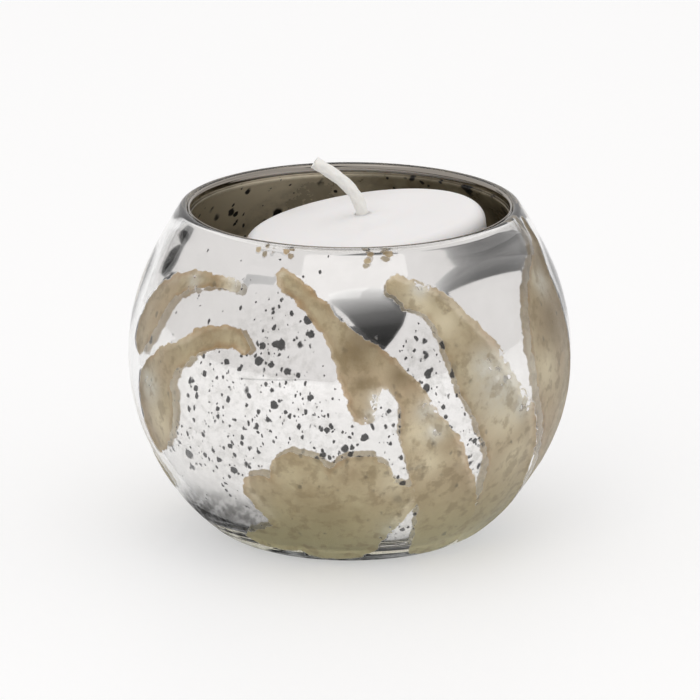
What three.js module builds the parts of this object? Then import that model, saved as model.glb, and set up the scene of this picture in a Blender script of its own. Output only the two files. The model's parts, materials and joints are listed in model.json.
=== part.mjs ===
// Tealight holder: a round blown-glass bowl, silvered and lacquered on the inside, with a
// loose votive candle that leans in it. Units are millimetres and +Z is up. The origin is the
// centre of the base, on the surface that the bowl stands on.
import * as THREE from "three";

// ---- Driving dimensions of the bowl ----
const BOWL_RADIUS = 38; // outside, at the widest point
const BOWL_CENTRE_Z = 31.3; // height of the widest point
const BOWL_HEIGHT = 57.4; // to the top of the lip
const FOOT_RADIUS = 18.5; // outer edge of the ground foot ring
const PUNT_RADIUS = 13; // inner edge of the foot ring
const PUNT_DEPTH = 1; // hollow under the middle of the base
const SHOULDER_ANGLE = THREE.MathUtils.degToRad(29.25); // the neck leans in by this from upright
const WALL = 1.5; // glass thickness round the belly
const LIP_THICKNESS = 1.8; // glass thickness at the fire-polished lip
const FLOOR_Z = 3.5; // top of the glass floor, which is thicker than the wall
const FLOOR_RADIUS = 20.5; // flat part of the floor

// ---- Coatings on the inside of the glass, drawn thicker than the real films ----
const COAT_GAP = 0.15; // clear space on the glass side of each coat
const COAT_THICKNESS = 0.2;
const SILVER_EDGE_ANGLE = THREE.MathUtils.degToRad(135); // on the lip's curve, where the silver ends
const LACQUER_BELOW_LIP = 0.2; // between the lip's curve and the edge of the lacquer

// ---- Driving dimensions of the candle ----
const CANDLE_HEIGHT = 48.7;
const CANDLE_BASE_RADIUS = 19.8;
const CANDLE_TOP_RADIUS = 20.8;
const CANDLE_SHOULDER = 2.6; // rounding of the top edge
const CANDLE_CHAMFER = 0.6; // at the bottom edge
const CANDLE_DOME = 0.7; // the middle of the top stands this much above its rounded edge
const CANDLE_LEAN = THREE.MathUtils.degToRad(7.5);
const WICK_RADIUS = 1.1;
const WICK_UPRIGHT = 5; // how far above the wax the wick still aims straight up
const WICK_BEND = new THREE.Vector2(-3.6, 7.6); // sideways and up from where it leaves the wax
const WICK_TIP = new THREE.Vector2(-6.9, 10.4);
const WICK_CORE_RADIUS = 0.45;
const SUSTAINER_RADIUS = 9;
const SUSTAINER_THICKNESS = 0.4;
const NECK_WALL = 0.4;
const NECK_HEIGHT = 4;
const CLEARANCE = 0.3; // between pieces that touch on the real object

// ---- Fineness ----
const CHORD_ERROR = 0.06; // most that a chord of a profile's arc may miss the arc by
const LEAST_ARC_STEPS = 3;
const DOME_STEPS = 3;
const BOWL_SEGMENTS = 48;
const CANDLE_SEGMENTS = 36;
const SMALL_SEGMENTS = 24;
const WICK_SIDES = 10;
const WICK_STEPS = 22;

// How many chords an arc of this radius and angle takes.
function arcSteps(radius, angle) {
  const chordAngle = 2 * Math.acos(1 - CHORD_ERROR / radius);
  return Math.max(LEAST_ARC_STEPS, Math.ceil(Math.abs(angle) / chordAngle));
}

// Points on an arc in the profile plane, where x is the radius and y the height.
function arc(centreX, centreY, radius, from, to, steps = arcSteps(radius, to - from)) {
  const points = [];
  for (let i = 0; i <= steps; i++) {
    const angle = from + ((to - from) * i) / steps;
    points.push(new THREE.Vector2(centreX + radius * Math.cos(angle), centreY + radius * Math.sin(angle)));
  }
  return points;
}

// A solid of revolution about +Z. The profile runs up the outside and down the inside.
function lathe(profile, segments) {
  return new THREE.LatheGeometry(profile, segments).rotateX(Math.PI / 2);
}

// Radius of an arc that leaves a level line at (startX, startY), pointing outwards, and curves
// up until it runs smoothly into a circle of radius bowlRadius about the bowl's centre.
function footArcRadius(startX, startY, bowlRadius) {
  const drop = BOWL_CENTRE_Z - startY;
  return (bowlRadius ** 2 - startX ** 2 - drop ** 2) / (2 * (bowlRadius - drop));
}

const shoulderOut = new THREE.Vector2(Math.cos(SHOULDER_ANGLE), Math.sin(SHOULDER_ANGLE));
const shoulderUp = new THREE.Vector2(-Math.sin(SHOULDER_ANGLE), Math.cos(SHOULDER_ANGLE));
const bowlCentre = new THREE.Vector2(0, BOWL_CENTRE_Z);
const lipRadius = LIP_THICKNESS / 2;
const lipCentreY = BOWL_HEIGHT - lipRadius;
const outerNeckStart = bowlCentre.clone().addScaledVector(shoulderOut, BOWL_RADIUS);
const neckLength = (lipCentreY + lipRadius * shoulderOut.y - outerNeckStart.y) / shoulderUp.y;
const outerNeckEnd = outerNeckStart.clone().addScaledVector(shoulderUp, neckLength);
const lipCentre = outerNeckEnd.clone().addScaledVector(shoulderOut, -lipRadius);
const innerRadius = BOWL_RADIUS - WALL;
const innerFillet = footArcRadius(FLOOR_RADIUS, FLOOR_Z, innerRadius);
const innerFilletZ = FLOOR_Z + innerFillet;

// The inside wall from the axis to the lip, moved towards the axis by inset and stopped short
// of the end of the neck by below.
function insideWall(inset, below) {
  const floorEdge = -Math.PI / 2;
  const filletEnd = Math.atan2(innerFilletZ - BOWL_CENTRE_Z, FLOOR_RADIUS);
  const filletSteps = arcSteps(innerFillet, filletEnd - floorEdge);
  const bellySteps = arcSteps(innerRadius, SHOULDER_ANGLE - filletEnd);
  const neckEnd = outerNeckEnd.clone().addScaledVector(shoulderOut, -LIP_THICKNESS - inset);
  return [
    new THREE.Vector2(0, FLOOR_Z + inset),
    ...arc(FLOOR_RADIUS, innerFilletZ, innerFillet - inset, floorEdge, filletEnd, filletSteps),
    ...arc(0, BOWL_CENTRE_Z, innerRadius - inset, filletEnd, SHOULDER_ANGLE, bellySteps).slice(1),
    neckEnd.addScaledVector(shoulderUp, -below),
  ];
}

// Bowl with a ground foot ring, an even ball-shaped wall and a rounded lip.
function glassBowl() {
  const puntRadius = (PUNT_RADIUS ** 2 + PUNT_DEPTH ** 2) / (2 * PUNT_DEPTH);
  const puntEdge = Math.acos(PUNT_RADIUS / puntRadius);
  const footArc = footArcRadius(FOOT_RADIUS, 0, BOWL_RADIUS);
  const footArcEnd = Math.atan2(footArc - BOWL_CENTRE_Z, FOOT_RADIUS);
  return lathe(
    [
      ...arc(0, PUNT_DEPTH - puntRadius, puntRadius, Math.PI / 2, puntEdge),
      ...arc(FOOT_RADIUS, footArc, footArc, -Math.PI / 2, footArcEnd),
      ...arc(0, BOWL_CENTRE_Z, BOWL_RADIUS, footArcEnd, SHOULDER_ANGLE).slice(1),
      ...arc(lipCentre.x, lipCentre.y, lipRadius, SHOULDER_ANGLE, SHOULDER_ANGLE + Math.PI),
      ...insideWall(0, 0).reverse().slice(1),
    ],
    BOWL_SEGMENTS,
  );
}

// The inside wall, carried on up the inner side of the lip's curve to the edge of the silver.
function silveredWall(inset) {
  const start = SHOULDER_ANGLE + Math.PI;
  const steps = arcSteps(lipRadius + COAT_GAP, start - SILVER_EDGE_ANGLE);
  const edge = arc(lipCentre.x, lipCentre.y, lipRadius + inset, start, SILVER_EDGE_ANGLE, steps);
  return [...insideWall(inset, 0), ...edge.slice(1)];
}

// The mirror coat on the glass, from the floor up over the inner side of the lip.
function silverLining() {
  const profile = [...silveredWall(COAT_GAP), ...silveredWall(COAT_GAP + COAT_THICKNESS).reverse()];
  return lathe(profile, BOWL_SEGMENTS);
}

// The protective coat on the silver, which ends just below the lip.
function lacquerCoat() {
  const outside = 2 * COAT_GAP + COAT_THICKNESS;
  const profile = [
    ...insideWall(outside, LACQUER_BELOW_LIP),
    ...insideWall(outside + COAT_THICKNESS, LACQUER_BELOW_LIP).reverse(),
  ];
  return lathe(profile, BOWL_SEGMENTS);
}

// The top of the wax from its rounded edge in to the wick, a shallow dome.
function waxDome(edgeX, wickBore) {
  const points = [];
  for (let i = 1; i <= DOME_STEPS; i++) {
    const x = THREE.MathUtils.lerp(edgeX, wickBore, i / DOME_STEPS);
    points.push(new THREE.Vector2(x, CANDLE_HEIGHT - CANDLE_DOME * (x / edgeX) ** 2));
  }
  return points;
}

// Tapered wax body with a bore for the wick and a seat for the sustainer, standing on z = 0.
function candleWax() {
  const wickBore = WICK_RADIUS + CLEARANCE;
  const neckBore = wickBore + NECK_WALL + CLEARANCE;
  const plateDepth = SUSTAINER_THICKNESS + 2 * CLEARANCE;
  const neckDepth = plateDepth + NECK_HEIGHT;
  const shoulderX = CANDLE_TOP_RADIUS - CANDLE_SHOULDER;
  const shoulderY = CANDLE_HEIGHT - CANDLE_DOME - CANDLE_SHOULDER;
  return lathe(
    [
      new THREE.Vector2(SUSTAINER_RADIUS + CLEARANCE, 0),
      new THREE.Vector2(CANDLE_BASE_RADIUS - CANDLE_CHAMFER, 0),
      new THREE.Vector2(CANDLE_BASE_RADIUS, CANDLE_CHAMFER),
      ...arc(shoulderX, shoulderY, CANDLE_SHOULDER, 0, Math.PI / 2),
      ...waxDome(shoulderX, wickBore),
      new THREE.Vector2(wickBore, neckDepth),
      new THREE.Vector2(neckBore, neckDepth),
      new THREE.Vector2(neckBore, plateDepth),
      new THREE.Vector2(SUSTAINER_RADIUS + CLEARANCE, plateDepth),
      new THREE.Vector2(SUSTAINER_RADIUS + CLEARANCE, 0),
    ],
    CANDLE_SEGMENTS,
  );
}

// Stamped metal tab under the candle, with a neck that is crimped round the wick.
function wickSustainer() {
  const bore = WICK_RADIUS + CLEARANCE;
  const plateTop = CLEARANCE + SUSTAINER_THICKNESS;
  return lathe(
    [
      new THREE.Vector2(bore, CLEARANCE),
      new THREE.Vector2(SUSTAINER_RADIUS, CLEARANCE),
      new THREE.Vector2(SUSTAINER_RADIUS, plateTop),
      new THREE.Vector2(bore + NECK_WALL, plateTop),
      new THREE.Vector2(bore + NECK_WALL, plateTop + NECK_HEIGHT - CLEARANCE),
      new THREE.Vector2(bore, plateTop + NECK_HEIGHT - CLEARANCE),
      new THREE.Vector2(bore, CLEARANCE),
    ],
    SMALL_SEGMENTS,
  );
}

// The wick runs straight up through the wax, then leans over and hooks at its tip.
function wickPath() {
  const path = new THREE.CurvePath();
  const start = new THREE.Vector3(0, 0, CLEARANCE);
  const top = new THREE.Vector3(0, 0, CANDLE_HEIGHT);
  path.add(new THREE.LineCurve3(start, top));
  path.add(
    new THREE.CubicBezierCurve3(
      top,
      new THREE.Vector3(0, 0, CANDLE_HEIGHT + WICK_UPRIGHT),
      new THREE.Vector3(WICK_BEND.x, 0, CANDLE_HEIGHT + WICK_BEND.y),
      new THREE.Vector3(WICK_TIP.x, 0, CANDLE_HEIGHT + WICK_TIP.y),
    ),
  );
  return path;
}

function circle(radius, sides) {
  return new THREE.Shape(
    new THREE.EllipseCurve(0, 0, radius, radius, 0, 2 * Math.PI).getPoints(sides).slice(0, sides),
  );
}

// The braided sleeve of the wick, and the stiff paper core inside it.
function wickSleeve() {
  const section = circle(WICK_RADIUS, WICK_SIDES);
  section.holes.push(circle(WICK_CORE_RADIUS + CLEARANCE / 2, WICK_SIDES));
  return new THREE.ExtrudeGeometry(section, { steps: WICK_STEPS, extrudePath: wickPath() });
}

function wickCore() {
  const section = circle(WICK_CORE_RADIUS, WICK_SIDES);
  return new THREE.ExtrudeGeometry(section, { steps: WICK_STEPS, extrudePath: wickPath() });
}

// The candle leans towards -X: its low edge stands on the flat floor, and its high edge rests
// against the wall on the other side.
function candleSeat() {
  const coats = 2 * (COAT_GAP + COAT_THICKNESS);
  const seatRadius = innerRadius - coats - CLEARANCE;
  const lowEdgeZ = FLOOR_Z + coats + CLEARANCE;
  const rise = CANDLE_BASE_RADIUS * Math.sin(CANDLE_LEAN);
  const highEdgeZ = lowEdgeZ + 2 * rise;
  const highEdgeX = Math.sqrt(seatRadius ** 2 - (BOWL_CENTRE_Z - highEdgeZ) ** 2);
  return new THREE.Vector3(highEdgeX - CANDLE_BASE_RADIUS * Math.cos(CANDLE_LEAN), 0, lowEdgeZ + rise);
}

function piece(name, geometry, color, roughness, metalness, more = {}) {
  const mesh = new THREE.Mesh(
    geometry,
    new THREE.MeshStandardMaterial({ color, roughness, metalness, ...more }),
  );
  mesh.name = name;
  return mesh;
}

const holder = new THREE.Group();
holder.add(piece("glass_bowl", glassBowl(), 0xe6eae4, 0.08, 0, { transparent: true, opacity: 0.4 }));
holder.add(piece("silver_lining", silverLining(), 0xe4e2df, 0.1, 1));
holder.add(piece("lacquer_coat", lacquerCoat(), 0x8a744a, 0.35, 0.4));

const candle = new THREE.Group();
candle.add(piece("candle_wax", candleWax(), 0xf2efec, 0.5, 0));
candle.add(piece("wick_sustainer", wickSustainer(), 0xb8b8b8, 0.35, 1));
candle.add(piece("wick_sleeve", wickSleeve(), 0xefece4, 0.9, 0));
candle.add(piece("wick_core", wickCore(), 0xd9d2c2, 0.9, 0));
candle.position.copy(candleSeat());
candle.rotation.y = -CANDLE_LEAN;
holder.add(candle);

export default holder;
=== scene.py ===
"""Looks of a silvered-glass candle holder: fine meshes, materials, studio and camera.

Shapes are worked out in millimetres and become metres as each mesh is made. Azimuth 0 faces the
camera, which looks along +Y, and grows to the right. A place on the bowl is (azimuth, height).
"""

import json
import math

import bpy
import numpy as np
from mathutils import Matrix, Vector


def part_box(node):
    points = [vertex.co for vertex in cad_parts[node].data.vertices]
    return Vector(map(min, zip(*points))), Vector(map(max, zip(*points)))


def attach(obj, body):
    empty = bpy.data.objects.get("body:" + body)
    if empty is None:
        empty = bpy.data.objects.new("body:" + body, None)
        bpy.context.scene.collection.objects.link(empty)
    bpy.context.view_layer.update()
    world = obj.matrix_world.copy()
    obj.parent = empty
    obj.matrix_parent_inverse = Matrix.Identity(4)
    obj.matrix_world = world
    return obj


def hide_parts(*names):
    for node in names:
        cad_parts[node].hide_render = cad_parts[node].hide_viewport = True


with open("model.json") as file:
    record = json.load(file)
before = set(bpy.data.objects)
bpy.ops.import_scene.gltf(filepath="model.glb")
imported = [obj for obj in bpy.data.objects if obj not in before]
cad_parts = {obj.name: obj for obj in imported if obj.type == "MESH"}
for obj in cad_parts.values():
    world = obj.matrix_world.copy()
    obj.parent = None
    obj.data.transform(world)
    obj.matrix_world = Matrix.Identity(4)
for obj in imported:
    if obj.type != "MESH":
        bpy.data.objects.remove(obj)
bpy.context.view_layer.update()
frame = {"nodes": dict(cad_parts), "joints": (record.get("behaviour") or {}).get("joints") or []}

MM = 0.001  # metres

# ---- The bowl's own dimensions, in millimetres and degrees ----
bowl_low, bowl_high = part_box("glass_bowl")
BOWL_RADIUS = round((bowl_high.x - bowl_low.x) / 2 / MM, 1)
BOWL_HEIGHT = bowl_high.z / MM
BELLY_HEIGHT = 31.3  # of the widest point
SHOULDER = 29.25  # the neck's lean from upright, where its straight line would leave the ball
WALL = 1.5  # thickness of the glass
LIP = 1.8  # thickness of the rounded lip
FOOT_RADIUS = 18.5
PUNT_RADIUS = 13.0  # inner edge of the foot ring
PUNT_DEPTH = 1.0  # hollow under the middle of the base
FLOOR_HEIGHT = 3.5  # top of the glass floor
FLOOR_RADIUS = 20.5
NECK_START = 24.0  # angle above the widest point where the ball starts to straighten into the neck
COAT_GAP = 0.15  # between the glass, the silver and the lacquer
COAT_THICKNESS = 0.2
SILVER_EDGE_ANGLE = 135.0  # on the lip's curve, where the silver ends
LACQUER_BELOW_LIP = 0.2  # how far down the neck the lacquer ends

# ---- Fineness: columns round the bowl, and millimetres between rows ----
GLASS_COLUMNS = 480
SILVER_COLUMNS = 360
LACQUER_COLUMNS = 240
FINE = 0.43  # where the surface is cut or seen closely
MEDIUM = 0.9
COARSE = 4.0  # on smooth faces that lie between the glass and its coats
NO_CUT = -9.0  # signed distance that stands for far outside every cut or blot

# ---- Camera: places in metres, lens and sensor in millimetres ----
CAMERA_GROUND_DISTANCE = 1.1216
CAMERA_HEIGHT = 0.3577
CAMERA_AIM_HEIGHT = 0.0315
CAMERA_NEAREST = 0.02
CAMERA_LENS = 350
CAMERA_SENSOR = 36


# ==== Camera and studio ====


def link(obj):
    bpy.context.scene.collection.objects.link(obj)
    return obj


def mesh_object(name, points, faces, material, attributes=None):
    """An object through points in metres. Each attribute holds a value for every point."""
    mesh = bpy.data.meshes.new(name)
    mesh.from_pydata(points, [], faces)
    for key, values in (attributes or {}).items():
        layer = mesh.attributes.new(key, "FLOAT", "POINT")
        layer.data.foreach_set("value", values)
    mesh.materials.append(material)
    return link(bpy.data.objects.new(name, mesh))


def only_reflected(obj):
    """Makes a stage object show only in reflections."""
    obj.visible_camera = False
    obj.visible_diffuse = False
    obj.visible_shadow = False


def add_camera():
    data = bpy.data.cameras.new("camera")
    data.lens = CAMERA_LENS
    data.sensor_width = CAMERA_SENSOR
    data.clip_start = CAMERA_NEAREST
    camera = link(bpy.data.objects.new("camera", data))
    camera.location = (0, -CAMERA_GROUND_DISTANCE, CAMERA_HEIGHT)
    aim = Vector((0, 0, CAMERA_AIM_HEIGHT)) - camera.location
    camera.rotation_euler = aim.to_track_quat("-Z", "Y").to_euler()
    bpy.context.scene.camera = camera


def direction(azimuth, elevation):
    """Unit vector from the holder towards a place in the studio. Both angles are in degrees."""
    turn = math.radians(azimuth)
    rise = math.radians(elevation)
    return Vector((math.sin(turn) * math.cos(rise), -math.cos(turn) * math.cos(rise), math.sin(rise)))


def softbox(name, azimuth, elevation, distance, width, height, radiance, shown=True):
    """A rectangular lamp that faces the holder, sized in metres. When shown, reflections see it."""
    data = bpy.data.lights.new(name, "AREA")
    data.shape = "RECTANGLE"
    data.size = width
    data.size_y = height
    data.energy = radiance * math.pi * width * height
    lamp = link(bpy.data.objects.new(name, data))
    lamp.location = direction(azimuth, elevation) * distance
    lamp.rotation_euler = (-lamp.location).to_track_quat("-Z", "Y").to_euler()
    lamp.visible_camera = False
    lamp.visible_glossy = shown
    lamp.visible_transmission = shown


def reflector(name, rungs, distance=1.6):
    """A panel that shows only in reflections, drawn as a ladder.

    A rung is two ends, and an end is (azimuth, elevation, brightness) as seen from the bowl. The
    distance is in metres.
    """
    ends = [end for rung in rungs for end in rung]
    middle = Vector((0, 0, BELLY_HEIGHT * MM))
    points = [middle + direction(azimuth, elevation) * distance for azimuth, elevation, _ in ends]
    faces = [(2 * i, 2 * i + 1, 2 * i + 3, 2 * i + 2) for i in range(len(rungs) - 1)]
    shades = [shade for _, _, shade in ends]
    only_reflected(mesh_object(name, points, faces, glow_material(name), {"shade": shades}))


def glow_material(name):
    """Light as bright as the shade of each point."""
    material = bpy.data.materials.new(name)
    material.use_nodes = True
    tree = material.node_tree
    tree.nodes.clear()
    shade = tree.nodes.new("ShaderNodeAttribute")
    shade.attribute_name = "shade"
    glow = tree.nodes.new("ShaderNodeEmission")
    output = tree.nodes.new("ShaderNodeOutputMaterial")
    tree.links.new(shade.outputs["Fac"], glow.inputs["Color"])
    tree.links.new(glow.outputs[0], output.inputs["Surface"])
    return material


def contact_shade(middle, reach, outer=60, height=0.2, darkest=0.85, rings=14, columns=96):
    """The dark under the bowl's overhang, densest round a place on the floor, seen in reflections.

    It is a flat ring about the foot, with its sizes in millimetres.
    """
    radii = np.linspace(FOOT_RADIUS + 0.1, outer, rings)
    turns = np.arange(columns) * 2 * math.pi / columns
    points = [(r * math.cos(a), r * math.sin(a), height) for r in radii for a in turns]
    faded = [smooth((math.dist(point[:2], middle) / reach - 0.8) / 0.4) for point in points]
    opacities = [darkest * (1 - share) for share in faded]
    faces = []
    for i in range((len(radii) - 1) * columns):
        right = i - i % columns + (i + 1) % columns
        faces.append((i, i + columns, right + columns, right))
    shader = Shader("contact_shade")
    shader.set("Base Color", CONTACT_SHADE)
    shader.set("Roughness", 1.0)
    streak = shader.step(shader.noise(330, detail=5, roughness=0.7), 0.40, 0.58, 0.45, 1.0)
    shader.set("Alpha", shader.times(shader.attribute("opacity"), streak))
    points = [Vector(point) * MM for point in points]
    only_reflected(mesh_object("contact_shade", points, faces, shader.material, {"opacity": opacities}))


def smooth(share):
    """A smooth change from 0 to 1 as share goes from 0 to 1."""
    share = min(max(share, 0.0), 1.0)
    return share * share * (3 - 2 * share)


def add_world(colour, strength):
    world = bpy.data.worlds.new("studio")
    world.use_nodes = True
    background = world.node_tree.nodes["Background"]
    background.inputs["Color"].default_value = colour
    background.inputs["Strength"].default_value = strength
    bpy.context.scene.world = world


def add_floor(radius=6.0, sides=96):
    """A wide round sheet of pale paper, which glows a little to stay pale."""
    angles = [2 * math.pi * i / sides for i in range(sides)]
    rim = [(radius * math.cos(a), radius * math.sin(a), 0) for a in angles]
    shader = Shader("floor_paper")
    shader.set("Base Color", FLOOR)
    shader.set("Emission Color", (1, 1, 1, 1))
    shader.set("Emission Strength", 0.44)
    shader.set("Roughness", 0.55)
    shader.set("Specular IOR Level", 0.2)
    shader.bump(shader.noise(2200, detail=3), 0.15, 0.00005)
    mesh_object("floor", rim, [tuple(range(sides))], shader.material)


# Panels that shape the dark and grey areas of the silver, as ladders of rungs.
REFLECTORS = {
    "dark_gap": [
        ((-15, 42, 0.95), (38, 41, 0.95)),
        ((-11, 38.5, 0.5), (37, 38, 0.5)),
        ((-1, 33, 0.16), (36, 33, 0.14)),
        ((5, 27, 0.05), (31, 27, 0.05)),
        ((10, 21, 0.03), (24, 21, 0.03)),
        ((16, 16, 0.03), (18, 16, 0.03)),
    ],
    "dark_side": [
        ((54, 33.2, 0.5), (57, 37.5, 0.78)),
        ((68, 32.0, 0.19), (71, 38, 0.5)),
        ((86, 28.9, 0.10), (89, 36, 0.35)),
        ((103, 23.3, 0.08), (106, 30, 0.25)),
        ((119, 15.7, 0.1), (123, 22, 0.25)),
        ((137, 6, 0.15), (140, 12, 0.3)),
        ((150, 2.5, 0.8), (153, 8.5, 0.8)),
    ],
    "dark_back": [
        ((-140, 11, 0.12), (-134, 15.5, 0.12)),
        ((-144, 7.0, 0.04), (-130.5, 12.5, 0.04)),
        ((-144, 3.8, 0.04), (-130.5, 8.5, 0.04)),
        ((-140, 2.0, 0.12), (-134, 5.0, 0.12)),
    ],
    "grey_side": [
        ((-75, 33, 0.5), (-76, 36.5, 0.5)),
        ((-49, 40.5, 0.6), (-50, 43, 0.6)),
    ],
}


def add_studio():
    """Pale world and floor, three softboxes, and what only reflections see."""
    bpy.context.scene.view_settings.view_transform = "Standard"
    add_world((1.0, 0.985, 0.98, 1), 0.80)
    add_floor()
    contact_shade((-10, -4), 25)
    softbox("overhead_softbox", 0, 82, distance=1.3, width=1.1, height=1.1, radiance=0.6)
    softbox("front_softbox", 4, 55, distance=1.5, width=1.5, height=0.68, radiance=0.16)
    softbox("key_softbox", -26, 40, distance=1.6, width=0.8, height=0.8, radiance=1.2, shown=False)
    for name, rungs in REFLECTORS.items():
        reflector(name, rungs)
    reflector("table_edge", [((-58, -3.9, 0.3), (-58, -3.4, 0.3)), ((-20, 1.0, 0.5), (-20, 1.2, 0.5))], 0.45)


# ==== Materials ====

SPOT_SQUEEZE = (1.15, 1.15, 0.78)  # along X, Y and Z, which makes spots taller than they are wide

# Heights above the floor, in metres, between which something changes.
GLASS_CLEARS = (0.0, 0.004)
STAIN_WARMS = (0.001, 0.022)
SILVER_DARKENS = (0.0560, 0.0566)
LACQUER_DARKENS = (0.0542, 0.0562)

# Colours, as red, green, blue and alpha.
FLOOR = (0.54, 0.54, 0.54, 1)
CONTACT_SHADE = (0.035, 0.031, 0.021, 1)
CLEAR_GLASS = (0.985, 0.985, 0.98, 1)
FOOT_GLASS = (0.86, 0.92, 0.84, 1)
STAIN = (0.48, 0.365, 0.20, 1)
STAIN_CLOUD = (0.69, 0.59, 0.37, 1)
STAIN_STREAK = (0.72, 0.63, 0.43, 1)
STAIN_EDGE = (0.42, 0.26, 0.11, 1)
STAIN_ROSY = (0.60, 0.44, 0.285, 1)
STAIN_DEEP = (0.34, 0.25, 0.13, 1)
STAIN_LIGHT = (0.90, 0.79, 0.55, 1)
STAIN_WASHED = (0.82, 0.79, 0.68, 1)
STAIN_FOOT = (0.53, 0.475, 0.25, 1)
STAIN_PATCH = (0.31, 0.22, 0.10, 1)
STAIN_DOT = (0.10, 0.085, 0.06, 1)
SILVER = (0.95, 0.935, 0.93, 1)
SILVER_CLOUD = (0.885, 0.87, 0.86, 1)
SILVER_VEIL = (0.76, 0.745, 0.73, 1)
SILVER_LIP = (0.24, 0.21, 0.17, 1)
SILVER_SPECK = (0.030, 0.027, 0.026, 1)
LACQUER_DARK = (0.16, 0.13, 0.08, 1)
LACQUER_LIGHT = (0.38, 0.33, 0.23, 1)
# A painted highlight on the back wall of the lacquer.
LACQUER_PAINTED_HIGHLIGHT = (0.92, 0.82, 0.62, 1)
LACQUER_UNDER_LIP = (0.10, 0.085, 0.06, 1)
LACQUER_FLECK = (0.012, 0.011, 0.01, 1)


class Shader:
    """A material with one Principled shader, and short ways to add what drives it."""

    def __init__(self, name):
        self.material = bpy.data.materials.new(name)
        self.material.use_nodes = True
        self.tree = self.material.node_tree
        self.principled = self.tree.nodes["Principled BSDF"]
        self.place = self.tree.nodes.new("ShaderNodeTexCoord").outputs["Object"]

    def set(self, socket, value):
        """Gives a socket of the Principled shader a value or another node's output."""
        self.feed(self.principled.inputs[socket], value)

    def feed(self, socket, value):
        """Links a node's output to a socket, or gives the socket a plain value."""
        if isinstance(value, bpy.types.NodeSocket):
            self.tree.links.new(value, socket)
        else:
            socket.default_value = value

    def node(self, kind, inputs, **settings):
        """A new node with its settings made and its inputs fed."""
        node = self.tree.nodes.new("ShaderNode" + kind)
        for name, value in settings.items():
            setattr(node, name, value)
        for socket, value in inputs.items():
            self.feed(node.inputs[socket], value)
        return node

    def attribute(self, name):
        return self.node("Attribute", {}, attribute_name=name).outputs["Fac"]

    def maths(self, operation, first, second=0.0, third=0.0):
        inputs = {0: first, 1: second, 2: third}
        return self.node("Math", inputs, operation=operation).outputs[0]

    def times(self, first, second):
        return self.maths("MULTIPLY", first, second)

    def larger(self, first, second):
        return self.maths("MAXIMUM", first, second)

    def noise(self, scale, detail=2.0, roughness=0.5):
        inputs = {"Vector": self.place, "Scale": scale, "Detail": detail, "Roughness": roughness}
        return self.node("TexNoise", inputs).outputs["Fac"]

    def swing(self, amount, scale, **settings):
        """A noise that swings about 0 by up to an amount."""
        return self.maths("MULTIPLY_ADD", self.noise(scale, **settings), 2 * amount, -amount)

    def along(self, axis):
        """The object coordinate along an axis, in metres."""
        return self.node("SeparateXYZ", {0: self.place}).outputs[axis]

    def height(self):
        """The height above the floor, in metres."""
        return self.along("Z")

    def shaken(self, scale, amount):
        """Coordinates moved about by a noise, so that what they carry looks irregular."""
        noise = self.node("TexNoise", {"Vector": self.place, "Scale": scale})
        inputs = {0: noise.outputs["Color"], 1: (amount, amount, amount), 2: self.place}
        return self.node("VectorMath", inputs, operation="MULTIPLY_ADD").outputs[0]

    def step(self, value, low, high, to_low=0.0, to_high=1.0):
        """A smooth change from to_low to to_high as value goes from low to high."""
        inputs = dict(enumerate((value, low, high, to_low, to_high)))
        return self.node("MapRange", inputs, interpolation_type="SMOOTHSTEP").outputs[0]

    def mix(self, factor, first, second):
        return self.node("Mix", {"Factor": factor, "A": first, "B": second}).outputs["Result"]

    def mix_colour(self, factor, first, second):
        inputs = {"Factor": factor, 6: first, 7: second}
        return self.node("Mix", inputs, data_type="RGBA").outputs[2]

    def layered(self, base, *coats):
        """A colour with others laid over it in turn. A coat is (how much of it shows, its colour)."""
        for share, colour in coats:
            base = self.mix_colour(share, base, colour)
        return base

    def bump(self, height, strength, distance):
        inputs = {"Distance": distance, "Strength": strength, "Height": height}
        self.set("Normal", self.node("Bump", inputs).outputs[0])

    def spots(self, spacing, smallest, largest, density, rarity=1.6, edge=0.05):
        """Irregular upright spots of all sizes. spacing is in metres, and sizes are shares of it."""
        inputs = {0: self.shaken(1.3 / spacing, 0.6 * spacing), 1: SPOT_SQUEEZE}
        squeezed = self.node("VectorMath", inputs, operation="MULTIPLY").outputs[0]
        cells = self.node("TexVoronoi", {"Vector": squeezed, "Scale": 1 / spacing})
        chance = self.node("SeparateColor", {0: cells.outputs["Color"]})
        spread = self.maths("POWER", chance.outputs[0], rarity)
        size = self.maths("MULTIPLY_ADD", spread, largest - smallest, smallest)
        inside = self.maths("SUBTRACT", size, cells.outputs["Distance"])
        kept = self.maths("LESS_THAN", chance.outputs[1], density)
        return self.times(self.step(inside, -edge, edge), kept)


def cut_edge(shader):
    """How far inside a frayed cut a place is, in millimetres, less where pale stain has worn off."""
    wobble = shader.swing(0.22, 1300, detail=3)
    fray = shader.swing(0.75, 430, detail=4, roughness=0.6)
    distance = shader.maths("ADD", shader.attribute("cut"), shader.maths("ADD", wobble, fray))
    wear = shader.step(shader.noise(760, detail=4), 0.5, 0.62, 0.0, 5.0)
    wear_and_highlight = shader.maths("SUBTRACT", shader.times(shader.attribute("pale"), wear), 1.2)
    return shader.maths("SUBTRACT", distance, shader.larger(wear_and_highlight, 0.0))


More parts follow.
